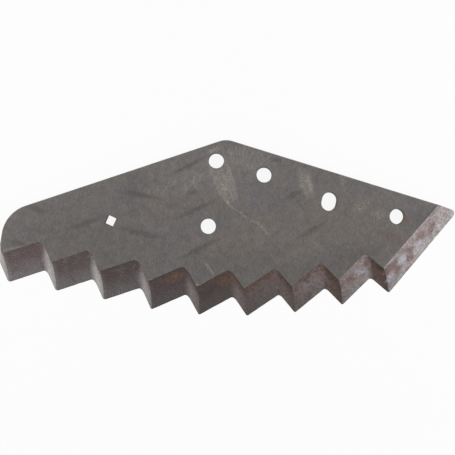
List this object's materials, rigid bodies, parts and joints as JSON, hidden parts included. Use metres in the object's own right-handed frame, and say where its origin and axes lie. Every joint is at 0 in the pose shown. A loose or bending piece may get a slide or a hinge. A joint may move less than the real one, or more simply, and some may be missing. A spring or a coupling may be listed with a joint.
{
  "type": "feed mixer knife",
  "caption": "Angled steel plate knife for a mixing auger: stepped saw-tooth edge of milled flanks, straight bevelled point, round bolt holes, a short adjusting slot and a small square hole.",
  "frame": {"origin": "centre of the main bolt hole at the underside of the plate", "axes": "+X along the knife from the heel to the point, +Y across it from the teeth to the back edges, +Z out of the face that the flanks are milled into"},
  "size_m": [0.5241, 0.2013, 0.01],
  "materials": {
    "steel_plate": "hot-rolled plate with dull grey mill scale, scratched, with milled flanks that are bright on the short sides and rusted in places"
  },
  "bodies": {
    "root": {"knife_blade": "steel_plate"}
  },
  "joints": []
}
